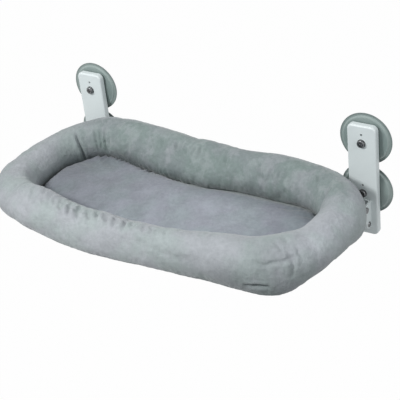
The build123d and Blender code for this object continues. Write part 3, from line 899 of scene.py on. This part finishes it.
def raise_relief(piece):
    """Fullness first, then the folds, each along the surface as it stands by then."""
    points = vertices_of(piece.data)
    inner = ring_coordinates(points)[1] < 0
    lowest = np.where(inner, FREE_INSIDE, FREE_OUTSIDE)
    free = np.clip((points[:, 2] - lowest) / FREE_RISE, 0, 1)
    broad = 1.2 * wander(points, 11, 2) + 0.8 * wander(points, 30, 3)
    move = (fullness(points) + broad) * free * MM
    move_vertices(piece.data, points + normals_of(piece.data) * move[:, None])
    points = vertices_of(piece.data)
    tufts = 0.45 * wander(points, 130, 6) + 0.3 * wander(points, 260, 7)
    uneven, patchy, ragged = (wander(points, *way) for way in ((38, 1), (60, 10), (110, 12)))
    along, angle, front = on_the_ring(points)
    along, angle = along + 1.8 * uneven + 1.1 * ragged, angle + 2.5 * ragged
    for half, here in (("back", ~front), ("front", front)):
        creased = folds(along, angle, FOLDS[half])
        creased += gathers(along, angle, GATHERS[half], uneven, patchy)
        tufts += creased * here
    fine = tufts * free * MM
    move_vertices(piece.data, points + normals_of(piece.data) * fine[:, None])
    return move, fine


for kind, relief in zip(("fullness", "folds"), raise_relief(bolster)):
    print(kind, "from", round(relief.min() / MM, 1), "to", round(relief.max() / MM, 1), "mm")

# %% [markdown]
# ## Bolster: where it belongs
#
# The ring rides on the bed and stands in for the CAD solid. When the bed folds up, the real
# ring is pressed flat against the window. A simulation for every angle would be heavy.

# %% Finish the bolster
dress(bolster, bolster_plush)
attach(bolster, "bed")
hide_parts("bolster")
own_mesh(bolster)
print("bolster rides on the bed")

# %% [markdown]
# ## Floor pad
#
# The pad is a thin cushion that fills the floor of the bed. Its edge is tucked under the
# bolster's belly, so only the crown shows, with a dark gap round it. It swells the same way
# as the ring, held on its underside.

# %% Swell the pad
pad = remesh(copy_solid("floor_pad", "floor_cushion"), 5 * MM)
pad_low, pad_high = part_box("floor_pad")
held = vertices_of(pad.data)[:, 2] < pad_low.z + 2 * MM
swell(pad, held, pressure=2.0, cap=3 * MM)
subdivide(pad)
print("pad has", len(pad.data.vertices), "points")

# %% [markdown]
# ## Floor pad: waves and a puckered rear edge
#
# The pad's ends rise a little towards the bolster, and loose cloth leaves long shallow waves.
# Behind the middle the rear edge has pulled away from the wall. At the back left it reaches
# under the wall, and it is puckered all along. Two small tables say how far it goes under or
# away, and noise bends a sine wave for the puckers.

# %% Shape the pad
PUCKER_PITCH = 12 * MM
REAR_REACH = 70 * MM
AWAY = [(-75, 0), (-35, 12), (0, 17), (35, 13), (75, 4), (110, 0)]
UNDER = [(-245, 0), (-215, 11), (-200, 17), (-170, 13), (-130, 5), (-95, 1), (-80, 0)]


def lift_ends(points, top):
    """Height of the raised ends, the waves and the pile, on the upper side alone."""
    middle, half = middle_and_half("floor_pad")
    lift = 5 * MM * ((points[:, 0] - middle.x) / half.x) ** 4 - 2 * MM
    waves = 3.2 * MM * wander(points * (1, 1.7, 1), 9, 4) + 1.0 * MM * wander(points, 26, 5)
    return (lift + waves + 0.35 * MM * wander(points, 130, 8)) * top


def move_rear_edge(points, to_rear, top):
    """Shift the rear edge along y and raise it where it is puckered or lies on the wall."""
    away, under = blended(points[:, 0] / MM, AWAY), blended(points[:, 0] / MM, UNDER)
    pucker = np.sin(2 * math.pi * points[:, 0] / PUCKER_PITCH + 4 * wander(points, 20, 9))
    pucker *= 0.6 + wander(points, 45, 11)
    pucker *= np.clip(-points[:, 0] / (60 * MM), 0.25, 1)
    near_rear = np.clip(1 - to_rear / REAR_REACH, 0, 1) ** 1.5
    points[:, 1] += (under - away + 2.6 * pucker) * near_rear * MM
    edge = falloff((to_rear - 8 * MM) / (14 * MM)) * top
    points[:, 2] += (1.0 * pucker + 5 * np.clip(under / 8, 0, 1)) * edge * MM


points = vertices_of(pad.data)
top = np.clip((points[:, 2] - pad_low.z - 4 * MM) / (6 * MM), 0, 1)
to_rear = pad_high.y - points[:, 1]
points[:, 2] += lift_ends(points, top)
move_rear_edge(points, to_rear, top)
move_vertices(pad.data, points)
print("pad top at", round(float(points[:, 2].max() / MM), 1), "mm")

# %% [markdown]
# ## Floor pad: where it belongs
#
# The pad rides on the bed like the ring.

# %% Finish the pad
dress(pad, pad_plush)
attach(pad, "bed")
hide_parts("floor_pad")
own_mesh(pad)
print("pad rides on the bed")

# %% [markdown]
# ## Sleeves on the tubes
#
# A sleeve is a cloth tube with a little play: it lies on the steel along most of its length
# and puckers more where the tube bends. It could be draped by simulation, but so close a fit
# needs none: it is built as rings of points along the tube's middle line, which is straight,
# round the corner, and straight again. Each end has a hem, a touch thicker than the rest.

# %% Middle lines of the tubes
RAIL_Y, LEG_X, TUBE_LEVEL = -278.5 * MM, 266 * MM, -66 * MM
FRAME_CORNER = 84 * MM
STEP = 3 * MM


def run(start, end):
    """Even places on a straight run, without its last one."""
    start, end = Vector(start), Vector(end)
    count = max(1, round((end - start).length / STEP))
    return [start.lerp(end, index / count) for index in range(count)]


def bend(middle, first_angle, last_angle):
    """The same round a corner of the tube."""
    count = round(FRAME_CORNER * abs(last_angle - first_angle) / STEP)
    angles = [first_angle + (last_angle - first_angle) * index / count for index in range(count)]
    return [Vector(middle) + FRAME_CORNER * Vector((math.cos(a), math.sin(a), 0)) for a in angles]


def frame_line(sleeve_start):
    """From the right leg round the front rail to the left leg."""
    turn_x, turn_y = LEG_X - FRAME_CORNER, RAIL_Y + FRAME_CORNER
    return [
        *run((LEG_X, sleeve_start, TUBE_LEVEL), (LEG_X, turn_y, TUBE_LEVEL)),
        *bend((turn_x, turn_y, TUBE_LEVEL), 0, -math.pi / 2),
        *run((turn_x, RAIL_Y, TUBE_LEVEL), (-turn_x, RAIL_Y, TUBE_LEVEL)),
        *bend((-turn_x, turn_y, TUBE_LEVEL), -math.pi / 2, -math.pi),
        *run((-LEG_X, turn_y, TUBE_LEVEL), (-LEG_X, sleeve_start, TUBE_LEVEL)),
        Vector((-LEG_X, sleeve_start, TUBE_LEVEL)),
    ]


frame_path = frame_line(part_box("frame_sleeve")[1].y)
rear_low, rear_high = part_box("rear_sleeve")
rear_y = middle_and_half("rear_sleeve")[0].y
rear_end = (rear_high.x, rear_y, TUBE_LEVEL)
rear_path = [*run((rear_low.x, rear_y, TUBE_LEVEL), rear_end), Vector(rear_end)]
print("sleeves follow", len(frame_path), "and", len(rear_path), "places")

# %% [markdown]
# ## The cloth tube
#
# At each place of the middle line a ring of points is set, and neighbouring rings are joined
# by faces. The radius carries all the detail: fine puckers, a slow looseness, a seam along the
# underside and the hem. It never comes nearer to the steel than half a millimetre.

# %% Shape of a sleeve
TUBE_R, SLEEVE_R = 8 * MM, 9.5 * MM
THICKNESS, HEM = 0.9 * MM, 9 * MM
AROUND = 40
UP = Vector((0, 0, 1))
UNDERSIDE = 1.5 * math.pi


def sleeve_radius(length, to_end, angle, bent, seed):
    """Puckers, a slow wave, the seam and, near an end, the hem."""
    pucker = noise.noise(Vector((length * 150, angle * 0.9, seed)))
    loose = noise.noise(Vector((length * 25, angle * 0.5, seed + 9)))
    radius = SLEEVE_R + (0.75 if bent else 0.35) * MM * pucker + 0.3 * MM * loose
    radius += 0.45 * MM * float(falloff((angle - UNDERSIDE) / 0.12))
    if to_end < HEM:
        radius += 0.45 * MM * min(1, (HEM - to_end) / MM)
    return max(radius, TUBE_R + 0.5 * MM)


def sleeve_mesh(name, path, seed):
    lengths = np.cumsum([0] + [(b - a).length for a, b in zip(path, path[1:])])
    mesh, rings = bmesh.new(), []
    for index, middle in enumerate(path):
        ahead = (path[min(index + 1, len(path) - 1)] - path[max(index - 1, 0)]).normalized()
        side = ahead.cross(UP).normalized()
        length, to_end = lengths[index], min(lengths[index], lengths[-1] - lengths[index])
        bent = abs(middle.x) > LEG_X - FRAME_CORNER and middle.y < RAIL_Y + FRAME_CORNER
        ring = []
        for angle in (2 * math.pi * turn / AROUND for turn in range(AROUND)):
            out = math.cos(angle) * side + math.sin(angle) * UP
            radius = sleeve_radius(length, to_end, angle, bent, seed)
            ring.append(mesh.verts.new(middle + radius * out))
        rings.append(ring)
    for near, far in zip(rings, rings[1:]):
        for turn in range(AROUND):
            after = (turn + 1) % AROUND
            mesh.faces.new((near[turn], near[after], far[after], far[turn]))
    data = bpy.data.meshes.new(name)
    bmesh.ops.recalc_face_normals(mesh, faces=mesh.faces)
    mesh.to_mesh(data)
    mesh.free()
    return data


print("sleeve of", AROUND, "points around")

# %% [markdown]
# ## Two sleeves of flat cloth
#
# A sleeve is cut from a flat strip: as wide as the way round the tube, as long as the tube's
# middle line.

# %% Build the sleeves
def sleeve(name, path, node, seed):
    """Cloth tube along a path, in place of the CAD node."""
    piece = bpy.data.objects.new(name, sleeve_mesh(name, path, seed))
    bpy.context.scene.collection.objects.link(piece)
    skin = piece.modifiers.new("cloth", "SOLIDIFY")
    skin.thickness, skin.offset = THICKNESS, -1
    apply_modifiers(piece)
    dress(piece, cover_cloth)
    for face in piece.data.polygons:
        face.use_smooth = True
    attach(piece, "bed")
    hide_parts(node)
    return piece


front_sleeve = sleeve("frame_sleeve_cloth", frame_path, "frame_sleeve", 3)
rear_sleeve = sleeve("rear_sleeve_cloth", rear_path, "rear_sleeve", 5)
for piece, path in ((front_sleeve, frame_path), (rear_sleeve, rear_path)):
    length = sum((b - a).length for a, b in zip(path, path[1:]))
    print(piece.name, "is", round(length, 3), "m long")

# %% [markdown]
# ## Base panel
#
# Under the pad a double cloth is stretched between the sleeves and sewn to them. It hardly
# shows, but the object is looked at from below as well. Pulled at its edges it forms shallow
# waves that run inwards and die out, and its middle sags by a few millimetres.

# %% Make the base panel
PULL_REACH, WAVE_PITCH, WAVE_HEIGHT = 22 * MM, 17 * MM, 0.8 * MM
SAG, SAG_REACH = 4 * MM, 60 * MM

base = remesh(copy_solid("base_panel", "base_cloth"), 2.5 * MM)
points = vertices_of(base.data)
middle, half = middle_and_half("base_panel")
edge_x = half.x - np.abs(points[:, 0] - middle.x)
edge_y = half.y - np.abs(points[:, 1] - middle.y)
edge = np.minimum(edge_x, edge_y)
along_edge = np.where(edge_x < edge_y, points[:, 1], points[:, 0])
ripple = np.sin(2 * math.pi * along_edge / WAVE_PITCH) * WAVE_HEIGHT * falloff(edge / PULL_REACH)
sag = SAG * np.clip(edge / SAG_REACH, 0, 1)
hanging = ripple * np.clip(edge / (4 * MM), 0, 1) - sag
points[:, 2] += np.where(points[:, 2] < middle.z, hanging, 0)
move_vertices(base.data, points)
dress(base, cover_cloth)
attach(base, "bed")
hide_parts("base_panel")
print("base panel has", len(base.data.vertices), "points")

# %% [markdown]
# ## Light and background
#
# The photograph is a plain product picture: white all round, soft light from the upper left
# and in front. A big lamp gives that light, a weaker one opens the shadows on the right, and
# the world fills the rest. The white itself is only shown to the camera and to mirrors, by
# asking what kind of ray is looking, so it adds no light to the object.


# %% Background that only shows
WHITE = (1, 1, 1, 1)
COOL = (0.93, 0.97, 1.0, 1)


def seen_directly(tree):
    """1 for rays from the camera, from a reflection or through glass, else 0."""
    rays = tree.nodes.new("ShaderNodeLightPath").outputs
    seen = rays["Is Camera Ray"]
    for other in ("Is Glossy Ray", "Is Transmission Ray"):
        seen = add_node(tree, "Math", settings={"operation": "MAXIMUM"}, i0=seen, i1=rays[other])
    return seen


def make_world(strength):
    """Cool fill light, and plain white for whoever looks at the sky."""
    world = bpy.data.worlds.new("studio")
    bpy.context.scene.world = world
    world.use_nodes = True
    tree = world.node_tree
    fill = tree.nodes["Background"]
    fill.inputs["Color"].default_value = COOL
    fill.inputs["Strength"].default_value = strength
    white = add_node(tree, "Background", Color=WHITE)
    seen = seen_directly(tree)
    shown = add_node(tree, "MixShader", i0=seen, i1=fill.outputs[0], i2=white)
    tree.links.new(shown, tree.nodes["World Output"].inputs["Surface"])


make_world(strength=0.52)
print("world ready")

# %% [markdown]
# ## Floor and lamps
#
# The perch hangs on a window, so the floor lies well below it. Its paper is grey to the light
# and nearly white to the eye, in the same way as the world. Two square lamps give soft light.

# %% Floor and lamps
FLOOR_LEVEL, FLOOR_HALF = -1.3, 6.0
PAPER_WHITE = 0.985
BED_MIDDLE = (0, -0.15, -0.03)


def make_floor():
    mesh = bpy.data.meshes.new("floor")
    low, high = -FLOOR_HALF, FLOOR_HALF
    corners = [(low, low), (high, low), (high, high), (low, high)]
    mesh.from_pydata([(x, y, FLOOR_LEVEL) for x, y in corners], [], [(0, 1, 2, 3)])
    floor = bpy.data.objects.new("floor", mesh)
    bpy.context.scene.collection.objects.link(floor)
    paper = Finish("floor_paper", Base_Color=(0.5, 0.5, 0.5, 1), Roughness=0.9)
    share = paper.times(seen_directly(paper.tree), PAPER_WHITE)
    white = paper.add("Emission", Color=WHITE)
    shown = paper.add("MixShader", i0=share, i1=paper.shader.outputs[0], i2=white)
    paper.tree.links.new(shown, paper.tree.nodes["Material Output"].inputs["Surface"])
    mesh.materials.append(paper.material)


def make_lamp(name, place, size, power):
    """A square lamp that points at the bed."""
    data = bpy.data.lights.new(name, "AREA")
    data.size, data.energy = size, power
    lamp = bpy.data.objects.new(name, data)
    bpy.context.scene.collection.objects.link(lamp)
    lamp.location = place
    aim = Vector(BED_MIDDLE) - Vector(place)
    lamp.rotation_euler = aim.to_track_quat("-Z", "Y").to_euler()


make_floor()
make_lamp("key_light", (-0.65, -1.65, 1.45), 0.42, 36)
make_lamp("side_light", (1.6, -0.35, 1.1), 1.0, 8)
bpy.context.scene.view_settings.view_transform = "Standard"
print("stage and lamps ready")

# %% [markdown]
# ## Size
#
# Cloth may stand a little proud of the CAD box.


print("pieces ready")
